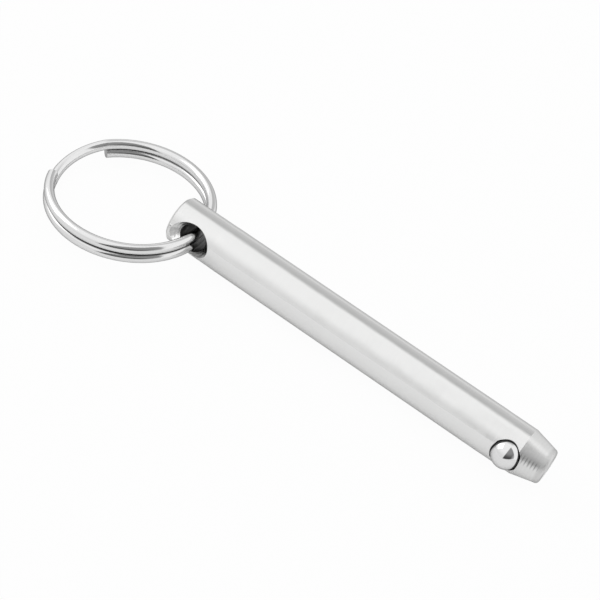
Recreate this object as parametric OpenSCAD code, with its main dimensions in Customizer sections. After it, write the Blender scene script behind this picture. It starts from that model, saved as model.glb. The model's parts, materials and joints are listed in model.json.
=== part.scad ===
// Quick release pin: a straight shaft with a sprung detent ball in its nose
// and a double-coil split ring through a cross hole in its head.
// The shaft lies along X with the head at -X and the nose at +X. The origin is
// on the shaft's axis, halfway along the ground grip. Z is up.

/* [Shaft] */
// Diameter of the ground grip
shaft_d = 6.35; // [6:0.05:8]
// Length of the ground grip
grip_length = 40.8; // [20:0.1:120]
// How much less the radius is over the drilled ends than over the grip
relief_depth = 0.02; // [0.01:0.01:0.1]
// Length of the taper between the grip and each relieved end
lead_length = 1; // [0.8:0.1:2]
// Width of the chamfer round the head's end face
head_chamfer = 0.3; // [0.1:0.05:0.5]

/* [Nose] */
// Length of the cone that guides the pin into a hole
nose_length = 3.5; // [2.5:0.1:8]
// Diameter that the cone runs down to
nose_end_d = 4.8; // [4:0.1:5.6]
// Radius of the rounding round the nose's end face
nose_round = 0.4; // [0.1:0.05:0.8]

/* [Cross hole] */
// Radial room that the ring's two coils have in the cross hole
ring_hole_clearance = 0.545; // [0.5:0.005:0.6]
// From the head's end face to the cross hole's centre
ring_hole_setback = 3.5; // [3.4:0.1:8]
// Width of the countersink where it meets the shaft's crest
countersink_d = 5.9; // [4.6:0.1:6]
// Included angle of the countersink
countersink_angle = 82; // [70:1:100]
// Plain width left between the countersink and the lead taper
head_land = 0.15; // [0.1:0.05:4]
// Rise of the cross hole above the horizontal, in degrees
hole_rise = 8; // [0:1:8]

/* [Detent ball] */
// Diameter of the ball
ball_d = 3.969; // [3.93:0.003:4.02]
// Rise of the ball's pocket above the horizontal, in degrees
ball_rise = 9; // [0:1:15]
// From the ball's centre to the foot of the nose cone
ball_to_nose = 1.36; // [1.3:0.02:6]
// Radial clearance between the ball and its pocket
ball_clearance = 0.06; // [0.03:0.01:0.09]
// Width of the pocket's mouth between its staked lips
mouth_d = 3.68; // [3.66:0.01:3.74]
// Depth of the lips' edge below the shaft's crest
lip_depth = 0.05; // [0.03:0.01:0.1]
// Gap between the released ball and the lips
lip_gap = 0.02; // [0.01:0.005:0.03]
// Width of the pocket's flat floor, where the spring sits
pocket_floor_d = 3.4; // [3.2:0.1:3.6]
// Height of the sloped corner round the pocket's floor
pocket_corner = 0.4; // [0.3:0.05:0.9]
// Solid steel left between the pocket's floor and the far side
pocket_floor_wall = 1.275; // [1.1:0.025:1.4]
// Plain width left between the pocket's mouth and the lead taper
nose_land = 0.3; // [0.1:0.05:4]

/* [Detent spring] */
// Wire diameter of the detent spring
spring_wire_d = 0.28; // [0.22:0.01:0.28]
// Radial clearance between the spring and the pocket's floor corner
spring_clearance = 0.05; // [0.03:0.01:0.1]
// Number of open turns between the two closed end turns
spring_open_turns = 2.25; // [1.75:0.25:2.25]
// Gap at the spring's seats on the ball and the pocket floor
spring_seat_gap = 0.03; // [0.01:0.01:0.05]

/* [Split ring] */
// Outer diameter of the split ring
ring_od = 22.3; // [19:0.1:30]
// Wire diameter of the split ring
ring_wire_d = 1.34; // [1.1:0.02:1.4]
// Gap between the ring's two coils
coil_gap = 0.03; // [0.02:0.01:0.1]
// Angle from the hole to the cut end of the lower coil
lower_end_angle = 145; // [100:1:150]
// Angle from the hole to the cut end of the upper coil, round the other side
upper_end_angle = 158.5; // [120:0.5:165]
// Radius of the two bends in the stretch that joins the coils
jog_bend_r = 3; // [2:0.5:5]
// How far the ring lies swung aside in its hole, in degrees
ring_yaw = 7.4; // [0:0.1:10]

/* [Hidden] */
$fn = 96;

steel = [0.78, 0.78, 0.77];
polished_steel = [0.85, 0.85, 0.85];
spring_steel = [0.62, 0.62, 0.63];

// Clears a cutter past the surface that it opens.
overcut = 1;
arc_steps = 8;

shaft_r = shaft_d / 2;
end_r = shaft_r - relief_depth;
grip_head_x = -grip_length / 2;
grip_nose_x = grip_length / 2;

// The head is laid out back from the grip.
ring_hole_x = grip_head_x - lead_length - head_land - countersink_d / 2;
head_x = ring_hole_x - ring_hole_setback;

// The nose is laid out forward from the grip.
ball_r = ball_d / 2;
ball_x = grip_nose_x + lead_length + nose_land + mouth_d / 2;
nose_foot_x = ball_x + ball_to_nose;
nose_x = nose_foot_x + nose_length;

// Heights in the pocket are measured outward from the shaft's axis.
pocket_r = ball_r + ball_clearance;
pocket_floor_h = pocket_floor_wall - shaft_r;
lip_r = mouth_d / 2;
lip_h = end_r - lip_depth;
ball_h = lip_h - sqrt(pow(ball_r + lip_gap, 2) - pow(lip_r, 2));

spring_wire_r = spring_wire_d / 2;
spring_r = pocket_floor_d / 2 - spring_clearance - spring_wire_r;
spring_foot_h = pocket_floor_h + spring_wire_r + spring_seat_gap;
spring_reach = ball_r + spring_wire_r + spring_seat_gap;
spring_top_h = ball_h - sqrt(pow(spring_reach, 2) - pow(spring_r, 2));
spring_turns = spring_open_turns + 2;
spring_steps = 20;
spring_sides = 8;
closed_pitch = spring_wire_d * 1.02;
open_pitch = (spring_top_h - spring_foot_h - 2 * closed_pitch) / spring_open_turns;

ring_wire_r = ring_wire_d / 2;
ring_r = ring_od / 2 - ring_wire_r;
coil_h = (ring_wire_d + coil_gap) / 2;
ring_hole_r = coil_h + ring_wire_r + ring_hole_clearance;
jog_angle = 360 - lower_end_angle - upper_end_angle;
jog_slant = slant_between(0, 45, 40);
// Each bend laps over its neighbours by this angle and is this much thicker.
bend_overlap = 2;
bend_swell = 0.01;
// The ring tilts until the far end of its lower coil is down on the floor.
ring_reach = ring_r * (cos(ring_yaw) - cos(max(lower_end_angle, upper_end_angle)));
ring_tilt = asin((shaft_r - ring_wire_r - bend_swell - coil_h) / ring_reach);

// Points of a quarter round from the direction a0 to a1, in degrees.
function arc(centre, r, a0, a1) =
    [for (i = [0 : arc_steps])
        let (a = a0 + (a1 - a0) * i / arc_steps)
        centre + r * [cos(a), sin(a)]];

// Turns a profile of [radius, x] points about the shaft's axis.
module turned(points) {
    rotate([0, 90, 0])
        rotate_extrude()
            polygon(points);
}

// Places its children on an axis that crosses the shaft's axis at x. Their Z
// runs outward on the side that faces -Y, with the given rise.
module across(x, rise) {
    translate([x, 0, 0])
        rotate([90 - rise, 0, 0])
            children();
}

// Places its children on the axis of the ball's pocket.
module along_pocket() {
    across(ball_x, ball_rise)
        children();
}

// The shaft before it is drilled.
module shaft_blank() {
    cone_angle = atan((end_r - nose_end_d / 2) / nose_length);
    turned(concat(
        [[0, head_x],
         [end_r - head_chamfer, head_x],
         [end_r, head_x + head_chamfer],
         [end_r, grip_head_x - lead_length],
         [shaft_r, grip_head_x],
         [shaft_r, grip_nose_x],
         [end_r, grip_nose_x + lead_length],
         [end_r, nose_foot_x]],
        arc([nose_end_d / 2 - nose_round, nose_x - nose_round], nose_round, cone_angle, 90),
        [[0, nose_x]]
    ));
}

// The cross hole, countersunk from both sides.
module ring_hole() {
    slope = tan(countersink_angle / 2);
    sink_h = shaft_r - (countersink_d / 2 - ring_hole_r) / slope;
    out_h = shaft_r + overcut;
    out_r = countersink_d / 2 + overcut * slope;
    across(ring_hole_x, hole_rise)
        rotate_extrude()
            polygon([
                [0, -out_h],
                [out_r, -out_h],
                [ring_hole_r, -sink_h],
                [ring_hole_r, sink_h],
                [out_r, out_h],
                [0, out_h]
            ]);
}

// The blind pocket for the ball and its spring. Its wall is staked inward to
// two lips, one towards the head and one towards the nose, that hold the ball
// in. Round the shaft's sides the surface falls away below the lips.
module ball_pocket() {
    along_pocket()
        rotate_extrude()
            polygon([
                [0, pocket_floor_h],
                [pocket_floor_d / 2, pocket_floor_h],
                [pocket_r, pocket_floor_h + pocket_corner],
                [pocket_r, lip_h - (pocket_r - lip_r)],
                [lip_r, lip_h],
                [lip_r, shaft_r + overcut],
                [0, shaft_r + overcut]
            ]);
}

module shaft() {
    color(steel)
        difference() {
            shaft_blank();
            ring_hole();
            ball_pocket();
        }
}

module detent_ball() {
    color(polished_steel)
        along_pocket()
            translate([0, 0, ball_h])
                sphere(r = ball_r);
}

// Joins rings of points into one closed tube. Each ring is a list of points.
module tube(rings) {
    sides = len(rings[0]);
    last = len(rings) - 1;
    walls = [for (i = [0 : last - 1], j = [0 : sides - 1])
        let (k = (j + 1) % sides)
        [i * sides + j, i * sides + k, (i + 1) * sides + k, (i + 1) * sides + j]];
    start_cap = [for (j = [sides - 1 : -1 : 0]) j];
    end_cap = [for (j = [0 : sides - 1]) last * sides + j];
    polyhedron(
        points = [for (ring = rings, point = ring) point],
        faces = concat([start_cap], walls, [end_cap]),
        convexity = 10
    );
}

// A ring of points round a wire that runs in a circle of radius r about Z, at
// the angle a and height h. The radius of the wire is w.
function wire_section(r, a, h, w, sides) =
    [for (j = [0 : sides - 1])
        let (b = -360 * j / sides, out = r + w * cos(b))
        [out * cos(a), out * sin(a), h + w * sin(b)]];

// Height of the spring's wire after a number of turns. The two end turns are
// closed and the turns between them are open.
function spring_h(turn) =
    spring_foot_h
    + closed_pitch * min(turn, 1)
    + open_pitch * max(0, min(turn - 1, spring_open_turns))
    + closed_pitch * max(0, turn - 1 - spring_open_turns);

module detent_spring() {
    last = round(spring_turns * spring_steps);
    color(spring_steel)
        along_pocket()
            tube([for (i = [0 : last])
                let (turn = i / spring_steps)
                wire_section(spring_r, 360 * turn, spring_h(turn), spring_wire_r,
                    spring_sides)]);
}

// A piece of ring wire bent to the radius r, from the angle start on.
module wire_arc(r, start, angle, wire_r = ring_wire_r) {
    rotate([0, 0, start])
        rotate_extrude(angle = angle)
            translate([r, 0])
                circle(r = wire_r, $fn = 48);
}

// One flat coil of the split ring. It runs through the hole's side of the ring
// from one cut end to the other.
module ring_coil(h) {
    translate([0, 0, h])
        wire_arc(ring_r, -upper_end_angle, upper_end_angle + lower_end_angle);
}

// The jog's arc lies in a plane with the given slant and meets its two bends
// without a corner. These give its half-angle, the steepest rise of its ends,
// the shift of its centre from the ring's, its radius and half its height.
function jog_half(slant) = atan(tan(jog_angle / 2) * cos(slant));
function jog_rise(slant) = asin(cos(jog_half(slant)) * sin(slant));
function jog_shift(slant) =
    tan(jog_rise(slant)) * (jog_bend_r / sin(jog_half(slant)) - ring_r * tan(slant));
function jog_r(slant) =
    ring_r * cos(jog_rise(slant)) / cos(slant) - jog_shift(slant) * cos(jog_half(slant));
function jog_climb(slant) =
    jog_r(slant) * sin(jog_half(slant)) * sin(slant)
    + jog_bend_r * (1 - cos(jog_rise(slant)));

// The slant between low and high at which the jog climbs from coil to coil.
function slant_between(low, high, steps) =
    let (middle = (low + high) / 2)
    steps == 0 ? middle
    : jog_climb(middle) < coil_h ? slant_between(middle, high, steps - 1)
    : slant_between(low, middle, steps - 1);

// The single stretch of wire that climbs from the lower coil to the upper one.
// It is an arc in a slanted plane, with a bend where it leaves each coil.
module ring_jog() {
    half = jog_half(jog_slant);
    rise = jog_rise(jog_slant);
    rotate([0, 0, lower_end_angle + jog_angle / 2]) {
        translate([jog_shift(jog_slant), 0, 0])
            rotate([-jog_slant, 0, 0])
                wire_arc(jog_r(jog_slant), -half, 2 * half);
        for (end = [0, 180])
            rotate([end, 0, 0])
                rotate([0, 0, jog_angle / 2])
                    translate([ring_r, 0, jog_bend_r - coil_h])
                        rotate([90, 0, -90])
                            wire_arc(
                                jog_bend_r,
                                -90 - bend_overlap,
                                rise + 2 * bend_overlap,
                                ring_wire_r + bend_swell
                            );
    }
}

module split_ring() {
    color(polished_steel)
        translate([ring_hole_x, 0, 0])
            rotate([0, -ring_tilt, 0])
                translate([-ring_r * cos(ring_yaw), -ring_r * sin(ring_yaw), 0]) {
                    ring_coil(-coil_h);
                    ring_coil(coil_h);
                    ring_jog();
                }
}

shaft();
detent_ball();
detent_spring();
split_ring();
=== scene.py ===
import json
import math

import bpy
from mathutils import Matrix, Vector


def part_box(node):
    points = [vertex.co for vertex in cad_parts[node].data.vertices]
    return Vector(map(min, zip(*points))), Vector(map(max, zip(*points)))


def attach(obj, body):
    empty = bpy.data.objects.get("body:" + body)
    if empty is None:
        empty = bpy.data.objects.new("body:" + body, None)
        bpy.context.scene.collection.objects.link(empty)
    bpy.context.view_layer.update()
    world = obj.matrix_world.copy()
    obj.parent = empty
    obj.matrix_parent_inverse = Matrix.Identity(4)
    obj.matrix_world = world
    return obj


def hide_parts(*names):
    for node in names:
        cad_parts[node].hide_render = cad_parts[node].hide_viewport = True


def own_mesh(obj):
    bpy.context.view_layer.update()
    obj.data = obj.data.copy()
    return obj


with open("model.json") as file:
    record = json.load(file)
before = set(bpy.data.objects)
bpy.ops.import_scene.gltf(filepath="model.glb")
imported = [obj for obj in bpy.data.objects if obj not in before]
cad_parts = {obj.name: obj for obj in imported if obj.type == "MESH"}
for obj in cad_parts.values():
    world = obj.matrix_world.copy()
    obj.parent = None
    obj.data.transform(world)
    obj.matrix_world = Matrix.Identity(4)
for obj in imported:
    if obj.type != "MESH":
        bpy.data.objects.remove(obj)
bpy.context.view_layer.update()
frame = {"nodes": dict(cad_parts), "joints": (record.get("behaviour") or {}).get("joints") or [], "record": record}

scene = bpy.context.scene
scene.view_settings.view_transform = "Standard"

# --- sizes and places ---------------------------------------------------------

# They come from the frame. The few that it doesn't give repeat the solids' own.

MM = 0.001

joints = {joint["name"]: joint for joint in frame["joints"]}
mounts = {mount["name"]: mount for mount in frame["record"]["mounts"]}
shaft_low, shaft_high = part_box("shaft")
ball_low, ball_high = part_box("detent_ball")

# The shaft, whose drilled ends are a little thinner than its grip.
SHAFT_R = -shaft_low.z
RELIEF = 0.02 * MM
END_R = SHAFT_R - RELIEF
FLOOR_Z = -SHAFT_R

# The nose's cone, and the duller band round the end of it.
NOSE_LENGTH = 3.5 * MM
NOSE_BAND = 0.65 * MM
NOSE_FOOT_X = shaft_high.x - NOSE_LENGTH
NOSE_BAND_X = shaft_high.x - NOSE_BAND

# The cross hole, which rises to the front, and how far its countersink reaches
# from its axis.
HOLE_X = joints["ring_swing"]["pos_m"][0]
HOLE_R = 1.9 * MM
HOLE_RISE = math.radians(8)
SINK_REACH = 3.4 * MM

# The ball's pocket, which rises to the front too, and its narrower mouth.
BALL_X = (ball_low.x + ball_high.x) / 2
BALL_RISE = math.asin(-joints["ball_press"]["axis"][2])
MOUTH_R = 1.84 * MM
POCKET_R = 2.0445 * MM

# The split ring: the middle of its loop, and the circle that its wire follows.
RING_CENTRE = mounts["lanyard_loop"]["pos_m"]
RING_TILT = math.radians(5.16)
RING_R = 10.48 * MM

# --- shader helpers -----------------------------------------------------------


def grey(level, warmth=0.0):
    """A grey, with a little less blue where it is warm."""
    return (level, level, level - warmth, 1)


class Nodes:
    """Builds the node tree of a material or of the world."""

    # The colour sockets of a Mix node share their names with others.
    MIX_FACTOR, MIX_A, MIX_B, MIX_RESULT = 0, 6, 7, 2

    def __init__(self, owner, output="ShaderNodeOutputMaterial"):
        owner.use_nodes = True
        self.owner = owner
        self.tree = owner.node_tree
        self.tree.nodes.clear()
        self.out = self.add(output)

    def add(self, kind, **props):
        node = self.tree.nodes.new(kind)
        for key, value in props.items():
            setattr(node, key, value)
        return node

    def put(self, socket, value):
        """Link a socket, or set the value of an unlinked one."""
        if isinstance(value, bpy.types.NodeSocket):
            self.tree.links.new(value, socket)
        else:
            socket.default_value = value

    def surface(self, shader):
        self.put(self.out.inputs["Surface"], shader.outputs[0])

    def math(self, op, a, b=None, clamp=False):
        node = self.add("ShaderNodeMath", operation=op, use_clamp=clamp)
        self.put(node.inputs[0], a)
        if b is not None:
            self.put(node.inputs[1], b)
        return node.outputs[0]

    def plus(self, a, b):
        return self.math("ADD", a, b)

    def minus(self, a, b):
        return self.math("SUBTRACT", a, b)

    def times(self, a, b):
        return self.math("MULTIPLY", a, b)

    def larger(self, a, b, clamp=False):
        return self.math("MAXIMUM", a, b, clamp)

    def hypot(self, a, b):
        return self.math("SQRT", self.plus(self.times(a, a), self.times(b, b)))

    def vector_math(self, op, a, b, output="Vector"):
        node = self.add("ShaderNodeVectorMath", operation=op)
        self.put(node.inputs[0], a)
        self.put(node.inputs[1], b)
        return node.outputs[output]

    def ramp(self, value, low, high, at_low, at_high):
        """Smoothly from one result to the other while the value goes from low to high."""
        node = self.add("ShaderNodeMapRange", interpolation_type="SMOOTHSTEP")
        self.put(node.inputs["Value"], value)
        self.put(node.inputs["From Min"], low)
        self.put(node.inputs["From Max"], high)
        self.put(node.inputs["To Min"], at_low)
        self.put(node.inputs["To Max"], at_high)
        return node.outputs["Result"]

    def spread(self, noise, low, high):
        """A noise, most of which lies near its middle, spread from low to high."""
        return self.ramp(noise, 0.3, 0.7, low, high)

    def step(self, value, edge, soft):
        """0 below the edge and 1 above it, smooth for a stretch on either side."""
        return self.ramp(value, edge - soft, edge + soft, 0.0, 1.0)

    def noise(self, vector, scale, detail, rough):
        node = self.add("ShaderNodeTexNoise")
        self.put(node.inputs["Vector"], vector)
        self.put(node.inputs["Scale"], scale)
        self.put(node.inputs["Detail"], detail)
        self.put(node.inputs["Roughness"], rough)
        return node.outputs["Fac"]

    def streaks(self, coords, scales, detail=3.0, rough=0.6):
        """Noise that is finer along a coordinate the larger its scale is."""
        stretched = self.vector_math("MULTIPLY", self.combine(*coords), scales)
        return self.noise(stretched, 1.0, detail, rough)

    def mix(self, fac, a, b):
        node = self.add("ShaderNodeMix", data_type="RGBA")
        self.put(node.inputs[self.MIX_FACTOR], fac)
        self.put(node.inputs[self.MIX_A], a)
        self.put(node.inputs[self.MIX_B], b)
        return node.outputs[self.MIX_RESULT]

    def bump(self, height, distance, strength, normal=None):
        node = self.add("ShaderNodeBump")
        self.put(node.inputs["Height"], height)
        self.put(node.inputs["Distance"], distance)
        self.put(node.inputs["Strength"], strength)
        if normal is not None:
            self.put(node.inputs["Normal"], normal)
        return node.outputs[0]

    def position(self):
        return self.add("ShaderNodeTexCoord").outputs["Object"]

    def xyz(self, vector):
        node = self.add("ShaderNodeSeparateXYZ")
        self.put(node.inputs[0], vector)
        return node.outputs[0], node.outputs[1], node.outputs[2]

    def combine(self, x, y, z):
        node = self.add("ShaderNodeCombineXYZ")
        for socket, value in zip(node.inputs, (x, y, z)):
            self.put(socket, value)
        return node.outputs[0]

    def cross_frame(self, position, at_x, rise):
        """Places about an axis that crosses the shaft: along X, across and outward."""
        x, y, z = self.xyz(position)
        c, s = math.cos(rise), math.sin(rise)
        along = self.minus(x, at_x)
        across = self.plus(self.times(y, s), self.times(z, c))
        out = self.plus(self.times(y, -c), self.times(z, s))
        return along, across, out


def metal(n, color, rough, normal, edge, brushed=0.0, turn=0.0, tangent=None):
    """Bare metal. The edge colour is what it gives back where it turns from the eye."""
    shader = n.add("ShaderNodeBsdfPrincipled")
    n.put(shader.inputs["Base Color"], color)
    n.put(shader.inputs["Metallic"], 1.0)
    n.put(shader.inputs["Specular Tint"], edge)
    n.put(shader.inputs["Roughness"], rough)
    n.put(shader.inputs["Normal"], normal)
    if tangent is not None:
        n.put(shader.inputs["Anisotropic"], brushed)
        n.put(shader.inputs["Anisotropic Rotation"], turn)
        n.put(shader.inputs["Tangent"], tangent)
    n.surface(shader)
    return n.owner


# --- the shaft ----------------------------------------------------------------

SHAFT_TONES = (grey(0.81, 0.005), grey(0.89, 0.005))
SHAFT_EDGE = grey(0.62)

# Highlights are drawn out along the shaft, a quarter turn from the way round it.
SHAFT_BRUSHED = 0.85
SHAFT_BRUSH_TURN = 0.25

# The roughness of the grip, and how much duller the other places are.
SHAFT_ROUGH = (0.14, 0.21)
BAND_DULLER = 0.18
CONE_DULLER = 0.22
BORE_DULLER = 0.2

# Per metre along the shaft and per radian round it. The third coordinate only
# keeps the noises apart.
GRAIN_SCALES = (14000.0, 0.7, 1.0)
BROAD_SCALES = (300.0, 1.6, 1.0)
WANDER_SCALES = (2000.0, 1.0, 1.0)
GRAIN_DEPTH = 0.0012 * MM
BROAD_DEPTH = 0.05 * MM

# The turning marks on the cone. Painted shade darkens their grooves in one patch
# of it, which fades out between two angles from its middle.
MARK_PITCH = 0.42 * MM
MARK_WANDER = 2.4
MARK_DEPTH = 0.0012 * MM
MARK_SHADE_TONE = grey(0.2)
PATCH_ANGLE = -1.10
PATCH_FADE = (0.06, 0.26)
PATCH_SHADE = (0.5, 0.02)

# The countersink: what is cut at least this deep, its turning marks, and the
# shade on its lower side towards the nose.
CUT_DEPTH = 0.03 * MM
SINK_TONE = grey(0.71, 0.005)
SINK_MARK_PITCH = 0.3 * MM
SINK_MARK_DEPTH = 0.004 * MM
SINK_SHADE_TONE = grey(0.2)
SINK_SHADE_FROM = (1.7 * MM, 2.9 * MM)
SINK_SHADE = (0.0, 0.6)

# Painted shade in the insides of the cross hole and of the ball's pocket. The
# hole's shade is deepest near its front mouth and towards the head, with streaks whose scales
# are per radian round it and per metre through it.
BORE_SHADE_TONE = grey(0.05)
BORE_STREAK_SCALES = (5.0, 300.0, 1.0)
BORE_STREAK_DARK = 0.4
BORE_RIM = (HOLE_R + 0.02 * MM, HOLE_R + 0.1 * MM)
BORE_OUTWARD = (0.4 * MM, 2.4 * MM)
BORE_OUTWARD_DARK = (0.70, 0.96)
BORE_ALONG = (-0.9 * MM, 0.3 * MM)
BORE_ALONG_DARK = (0.96, 0.5)
POCKET_RIM = (1.01, 1.05)


def cone_marks(n, x, around):
    """Where the cone and its end band are, and the wave of the turning marks."""
    cone = n.step(x, NOSE_FOOT_X, 0.05 * MM)
    band = n.step(x, NOSE_BAND_X, 0.1 * MM)
    stray = n.streaks((x, around, 14.0), WANDER_SCALES, 2.0, 0.5)
    turns = n.times(x, 2 * math.pi / MARK_PITCH)
    wave = n.math("SINE", n.plus(turns, n.times(stray, MARK_WANDER)))
    return cone, band, wave


def cross_hole(n, position, off_axis):
    """The countersink's place, the hole's painted shade, the sink's marks and its painted shade."""
    along, across, out = n.cross_frame(position, HOLE_X, HOLE_RISE)
    from_hole = n.hypot(along, across)
    cut = n.math("LESS_THAN", off_axis, END_R - CUT_DEPTH)
    near_hole = n.math("LESS_THAN", from_hole, SINK_REACH)
    sink = n.times(cut, near_hole)
    bore = n.times(sink, n.ramp(from_hole, *BORE_RIM, 1.0, 0.0))

    streak = n.streaks((n.math("ARCTAN2", along, across), out, 0.0), BORE_STREAK_SCALES, 2.0, 0.5)
    uneven = n.times(n.minus(streak, 0.5), BORE_STREAK_DARK)
    depth = n.plus(n.ramp(out, *BORE_OUTWARD, *BORE_OUTWARD_DARK), uneven)
    depth = n.larger(depth, n.ramp(along, *BORE_ALONG, *BORE_ALONG_DARK))

    wave = n.math("SINE", n.times(from_hole, 2 * math.pi / SINK_MARK_PITCH))
    shade = n.times(sink, n.ramp(n.minus(along, across), *SINK_SHADE_FROM, *SINK_SHADE))
    return sink, n.times(bore, depth), n.times(wave, sink), shade


def pocket_mouth(n, position):
    """Where the ball's pocket is. Its mouth is an oval on the round shaft."""
    along, across, out = n.cross_frame(position, BALL_X, BALL_RISE)
    oval = n.hypot(n.math("DIVIDE", along, MOUTH_R), n.math("DIVIDE", across, POCKET_R))
    on_near_side = n.math("GREATER_THAN", out, 0.0)
    return n.times(on_near_side, n.ramp(oval, *POCKET_RIM, 1.0, 0.0))


def shaft_steel():
    """Turned and ground steel, brushed round its axis."""
    n = Nodes(bpy.data.materials.new("shaft_steel"))
    position = n.position()
    x, y, z = n.xyz(position)
    off_axis = n.hypot(y, z)
    around = n.math("ARCTAN2", y, z)

    grain = n.streaks((x, around, 0.0), GRAIN_SCALES)
    broad = n.streaks((x, around, 3.0), BROAD_SCALES, rough=0.55)
    cone, band, mark_wave = cone_marks(n, x, around)
    marked = n.minus(cone, band)
    sink, hole, sink_wave, sink_shade = cross_hole(n, position, off_axis)
    # Painted shade inside the cross hole and the ball's pocket.
    dark = n.larger(hole, pocket_mouth(n, position), clamp=True)

    tone = n.mix(grain, *SHAFT_TONES)
    # Painted shade in the turning marks' grooves, only in one patch of the cone.
    groove = n.times(n.ramp(mark_wave, -0.2, 0.8, 0.0, 1.0), marked)
    from_patch = n.math("ABSOLUTE", n.minus(around, PATCH_ANGLE))
    patch = n.ramp(from_patch, *PATCH_FADE, *PATCH_SHADE)
    tone = n.mix(n.times(groove, patch), tone, MARK_SHADE_TONE)
    tone = n.mix(n.times(sink, 0.6), tone, SINK_TONE)
    tone = n.mix(sink_shade, tone, SINK_SHADE_TONE)
    tone = n.mix(n.times(dark, 0.95), tone, BORE_SHADE_TONE)

    rough = n.spread(broad, *SHAFT_ROUGH)
    for place, more in ((band, BAND_DULLER), (cone, CONE_DULLER), (dark, BORE_DULLER)):
        rough = n.plus(rough, n.times(place, more))

    normal = n.bump(broad, BROAD_DEPTH, 0.5)
    normal = n.bump(grain, GRAIN_DEPTH, 0.6, normal)
    normal = n.bump(n.times(mark_wave, marked), MARK_DEPTH, 1.0, normal)
    normal = n.bump(sink_wave, SINK_MARK_DEPTH, 1.0, normal)
    tangent = n.add("ShaderNodeTangent", direction_type="RADIAL", axis="X").outputs[0]
    return metal(n, tone, rough, normal, SHAFT_EDGE, SHAFT_BRUSHED, SHAFT_BRUSH_TURN, tangent)


# --- the ball -----------------------------------------------------------------

BALL_TONES = (grey(0.80), grey(0.86))
BALL_EDGE = grey(0.45)
BALL_ROUGH = (0.05, 0.08)
BALL_CLOUD = 900.0
BALL_DEPTH = 0.002 * MM

# Painted shade in the gap round the ball. It is widest where the lean is largest,
# at two opposite corners of the pocket's mouth.
GAP_SHADE_TONE = grey(0.03)
GAP_DULLER = 0.3
GAP_WIDTH = 0.08 * MM
GAP_RAGGED = 0.05 * MM
GAP_RAGGED_SCALE = 2500.0
GAP_LEAN_ALONG = 1.35
GAP_LEAN_ACROSS = 0.65
GAP_LEAN_WIDTH = 0.09


def ball_steel():
    """Polished steel, with painted shade in the gap where the ball meets its mouth."""
    n = Nodes(bpy.data.materials.new("ball_steel"))
    position = n.position()
    cloud = n.noise(position, BALL_CLOUD, 3.0, 0.55)
    along, across, out = n.cross_frame(position, BALL_X, BALL_RISE)
    above_skin = n.minus(n.hypot(across, out), END_R)
    lean = n.minus(n.times(along, GAP_LEAN_ALONG), n.times(across, GAP_LEAN_ACROSS))
    widened = n.times(n.times(lean, lean), GAP_LEAN_WIDTH / POCKET_R)
    ragged = n.times(n.minus(n.noise(position, GAP_RAGGED_SCALE, 2.0, 0.5), 0.5), GAP_RAGGED)
    line = n.plus(n.minus(above_skin, widened), ragged)
    dark = n.ramp(line, 0.0, GAP_WIDTH, 1.0, 0.0)
    tone = n.mix(cloud, *BALL_TONES)
    # Painted shade where the ball meets its mouth.
    tone = n.mix(n.times(dark, 0.95), tone, GAP_SHADE_TONE)
    rough = n.plus(n.spread(cloud, *BALL_ROUGH), n.times(dark, GAP_DULLER))
    return metal(n, tone, rough, n.bump(cloud, BALL_DEPTH, 0.5), BALL_EDGE)


# --- the wires ----------------------------------------------------------------

WIRE_EDGE = grey(0.33)
RING_TONES = (grey(0.74), grey(0.90))
RING_ROUGH = (0.09, 0.15)
RING_DEPTH = 0.004 * MM
SPRING_TONES = (grey(0.66), grey(0.82))
SPRING_ROUGH = (0.25, 0.35)
SPRING_DEPTH = 0.002 * MM

# Along the wire per radian, and across it per metre.
RING_STREAK_SCALES = (3.0, 9000.0, 9000.0)
SPRING_STREAK_SCALES = (1.0, 12000.0, 6000.0)

# Painted shade in the crevice between the ring's two coils, which is darker outside
# the ring than inside it and ends at the jog on the ring's far side.
CREVICE_SHADE_TONE = grey(0.06)
CREVICE_FADE = (0.05 * MM, 0.20 * MM)
CREVICE_OUTWARD = (-0.3 * MM, 0.3 * MM)
CREVICE_SHADE = (0.5, 0.92)
JOG_REACH = math.radians(25)
JOG_SOFT = math.radians(5)


def ring_wire():
    """Drawn wire of the split ring: faint streaks that follow its coils, and painted shade between them."""
    n = Nodes(bpy.data.materials.new("ring_steel"))
    x, y, z = n.xyz(n.vector_math("SUBTRACT", n.position(), RING_CENTRE))
    c, s = math.cos(RING_TILT), math.sin(RING_TILT)
    flat_x = n.plus(n.times(x, c), n.times(z, s))
    flat_z = n.plus(n.times(x, -s), n.times(z, c))
    around = n.math("ARCTAN2", y, flat_x)
    out = n.minus(n.hypot(flat_x, y), RING_R)
    streak = n.streaks((around, out, flat_z), RING_STREAK_SCALES)
    tone = n.mix(streak, *RING_TONES)
    from_far_side = n.math("ABSOLUTE", n.minus(n.math("ABSOLUTE", around), math.pi))
    doubled = n.step(from_far_side, JOG_REACH, JOG_SOFT)
    between = n.ramp(n.math("ABSOLUTE", flat_z), *CREVICE_FADE, 1.0, 0.0)
    shade = n.ramp(out, *CREVICE_OUTWARD, *CREVICE_SHADE)
    # Painted shade in the crevice between the coils.
    tone = n.mix(n.times(n.times(doubled, between), shade), tone, CREVICE_SHADE_TONE)
    rough = n.spread(streak, *RING_ROUGH)
    return metal(n, tone, rough, n.bump(streak, RING_DEPTH, 0.5), WIRE_EDGE)


def spring_wire():
    """Drawn wire of the hidden spring, with streaks that follow its turns."""
    n = Nodes(bpy.data.materials.new("spring_steel"))
    along, across, out = n.cross_frame(n.position(), BALL_X, BALL_RISE)
    around = n.math("ARCTAN2", along, across)
    streak = n.streaks((around, n.hypot(along, across), out), SPRING_STREAK_SCALES)
    tone = n.mix(streak, *SPRING_TONES)
    rough = n.spread(streak, *SPRING_ROUGH)
    return metal(n, tone, rough, n.bump(streak, SPRING_DEPTH, 0.5), WIRE_EDGE)


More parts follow.
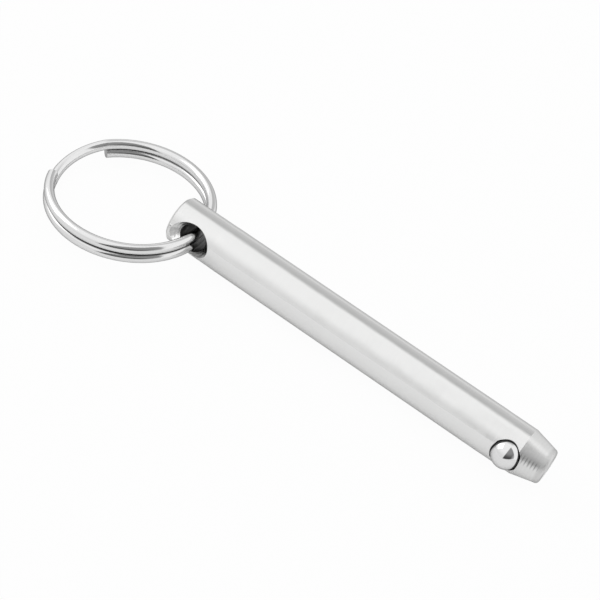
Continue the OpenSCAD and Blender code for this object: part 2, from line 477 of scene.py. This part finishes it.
looks = {
    "shaft": shaft_steel(),
    "detent_ball": ball_steel(),
    "detent_spring": spring_wire(),
    "split_ring": ring_wire(),
}
for name, look in looks.items():
    slots = frame["nodes"][name].data.materials
    for i in range(len(slots)):
        slots[i] = look

# --- the spring that the ball squeezes ----------------------------------------

solid_spring = frame["nodes"]["detent_spring"]

spring = bpy.data.objects.new("coil_spring", solid_spring.data.copy())
scene.collection.objects.link(spring)
spring.matrix_world = solid_spring.matrix_world.copy()
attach(spring, "pin")
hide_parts("detent_spring")
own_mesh(spring)

# --- the floor ----------------------------------------------------------------

FLOOR_SIZE = 1.6
FLOOR_TONES = (grey(0.90), grey(0.93))
FLOOR_SPECK = 400.0

# How far the floor is plain white to the camera, and to the metal's reflections.
FLOOR_WHITE_SEEN = 0.95
FLOOR_WHITE_MIRRORED = 0.30


def plane(name, size, at):
    s = size / 2
    mesh = bpy.data.meshes.new(name)
    mesh.from_pydata([(-s, -s, 0), (s, -s, 0), (s, s, 0), (-s, s, 0)], [], [(0, 1, 2, 3)])
    obj = bpy.data.objects.new(name, mesh)
    scene.collection.objects.link(obj)
    obj.matrix_world = Matrix.Translation(at)
    return obj


def floor_look():
    """White, with the object's shadow and a faint speckle showing through."""
    n = Nodes(bpy.data.materials.new("floor_look"))
    speck = n.noise(n.position(), FLOOR_SPECK, 2.0, 0.5)
    diffuse = n.add("ShaderNodeBsdfDiffuse")
    n.put(diffuse.inputs["Color"], n.mix(speck, *FLOOR_TONES))
    glow = n.add("ShaderNodeEmission")
    n.put(glow.inputs["Strength"], 1.0)
    path = n.add("ShaderNodeLightPath")
    seen = n.larger(path.outputs["Is Camera Ray"], path.outputs["Is Transmission Ray"])
    mirrored = path.outputs["Is Glossy Ray"]
    white = n.larger(n.times(seen, FLOOR_WHITE_SEEN), n.times(mirrored, FLOOR_WHITE_MIRRORED))
    mix = n.add("ShaderNodeMixShader")
    n.put(mix.inputs[0], white)
    n.put(mix.inputs[1], diffuse.outputs[0])
    n.put(mix.inputs[2], glow.outputs[0])
    n.surface(mix)
    return n.owner


floor = plane("floor", FLOOR_SIZE, (0, 0, FLOOR_Z))
floor.data.materials.append(floor_look())

# --- the studio ---------------------------------------------------------------

# White above, a grey wall low behind the object and a dark camera stand in
# front of it. Only glossy rays see the wall and the stand.

# Directions from the object to the three corners of the stand.
STAND_CORNERS = (
    Vector((0.010, -0.999, 0.040)),
    Vector((0.104, 0.180, 0.978)),
    Vector((0.950, -0.206, 0.234)),
)
STAND_SOFT = 0.04

# It is darkest low down and to the left.
STAND_UP = (0.30, 0.85)
STAND_UP_DARK = (0.92, 0.70)
STAND_RIGHT = (0.72, 0.95)
STAND_RIGHT_DARK = (1.0, 0.55)

# The studio's brightness at angles over the object, in degrees: 0 is level to
# the front, 90 straight up and 180 level to the back.
STUDIO_PROFILE = (
    (18, 0.82),
    (36, 0.93),
    (48, 1.0),
    (115, 1.0),
    (123, 0.74),
    (131, 0.52),
    (148, 0.58),
    (164, 0.70),
    (180, 0.95),
)

# Where the grey wall fades out on either side, seen from the object.
WALL_LEFT = (-0.55, -0.42)
WALL_RIGHT = (0.0, 0.25)

# The world's light on the floor. The camera and the metal see the world at 1.
WORLD_LIGHT = 0.78


def camera_stand(n, direction, x, z):
    """How dark the stand is in a direction, and 0 beside it."""
    stand = 1.0
    count = len(STAND_CORNERS)
    for i, corner in enumerate(STAND_CORNERS):
        following = STAND_CORNERS[(i + 1) % count]
        opposite = STAND_CORNERS[(i + 2) % count]
        side = corner.cross(following).normalized()
        if side.dot(opposite) < 0:
            side = -side
        inward = n.vector_math("DOT_PRODUCT", direction, side, "Value")
        stand = n.times(n.step(inward, 0.0, STAND_SOFT), stand)
    stand = n.times(stand, n.ramp(z, *STAND_UP, *STAND_UP_DARK))
    return n.times(stand, n.ramp(x, *STAND_RIGHT, *STAND_RIGHT_DARK))


def studio_profile(n, y, z):
    """The profile's brightness in a direction, as a colour ramp over half a turn."""
    half_turns = n.times(n.math("ARCTAN2", z, n.times(y, -1.0)), 1 / math.pi)
    node = n.add("ShaderNodeValToRGB")
    n.put(node.inputs["Fac"], half_turns)
    stops = node.color_ramp.elements
    stops.remove(stops[1])
    for angle, level in STUDIO_PROFILE:
        stops.new(angle / 180).color = grey(level)
    # What is left of the two stops that a new ramp starts with.
    stops.remove(stops[0])
    return node.outputs["Color"]


def studio():
    world = bpy.data.worlds.new("studio")
    n = Nodes(world, "ShaderNodeOutputWorld")
    direction = n.add("ShaderNodeTexCoord").outputs["Generated"]
    x, y, z = n.xyz(direction)
    width = n.times(n.ramp(x, *WALL_LEFT, 0.0, 1.0), n.ramp(x, *WALL_RIGHT, 1.0, 0.0))
    # To the front, the profile holds all the way across.
    width = n.larger(width, n.math("LESS_THAN", y, 0.0))
    mirrored = n.mix(width, grey(1.0), studio_profile(n, y, z))
    mirrored = n.mix(camera_stand(n, direction, x, z), mirrored, grey(0.0))

    path = n.add("ShaderNodeLightPath")
    glossy = path.outputs["Is Glossy Ray"]
    seen = n.larger(path.outputs["Is Camera Ray"], path.outputs["Is Transmission Ray"])
    background = n.add("ShaderNodeBackground")
    n.put(background.inputs["Color"], n.mix(glossy, grey(1.0), mirrored))
    n.put(background.inputs["Strength"], n.ramp(n.larger(seen, glossy), 0.0, 1.0, WORLD_LIGHT, 1.0))
    n.surface(background)
    return world


scene.world = studio()

# --- the lamp -----------------------------------------------------------------

KEY_AT = Vector((-0.45, -0.05, 0.30))
KEY_SIZE = 0.36


def softbox(name, at, size, level):
    """A square lamp aimed at the object, its face as bright as white times the level."""
    light = bpy.data.lights.new(name, "AREA")
    light.shape = "SQUARE"
    light.size = size
    light.energy = level * math.pi * size * size
    obj = bpy.data.objects.new(name, light)
    scene.collection.objects.link(obj)
    obj.location = at
    obj.rotation_euler = (-at).to_track_quat("-Z", "Y").to_euler()


softbox("key", KEY_AT, KEY_SIZE, 1.0)

# --- the camera ---------------------------------------------------------------

# It looks at the middle of the pin and its ring. Its angles are the way round
# the object, the height above the floor and the roll.
CAM_TARGET = Vector((-8.775, -0.079, 0.0)) * MM
CAM_DISTANCE = 232.193 * MM
CAM_AROUND = math.radians(-70.2787)
CAM_HEIGHT = math.radians(43.2836)
CAM_ROLL = math.radians(20.4211)
CAM_LENS = 111.116

cam_data = bpy.data.cameras.new("camera")
cam_data.sensor_width = 36.0
cam_data.lens = CAM_LENS
cam_data.clip_start = 0.01
cam_data.clip_end = 10.0
camera = bpy.data.objects.new("camera", cam_data)
scene.collection.objects.link(camera)
camera.matrix_world = (
    Matrix.Translation(CAM_TARGET)
    @ Matrix.Rotation(CAM_AROUND + math.pi / 2, 4, "Z")
    @ Matrix.Rotation(math.pi / 2 - CAM_HEIGHT, 4, "X")
    @ Matrix.Rotation(CAM_ROLL, 4, "Z")
    @ Matrix.Translation((0, 0, CAM_DISTANCE))
)
scene.camera = camera
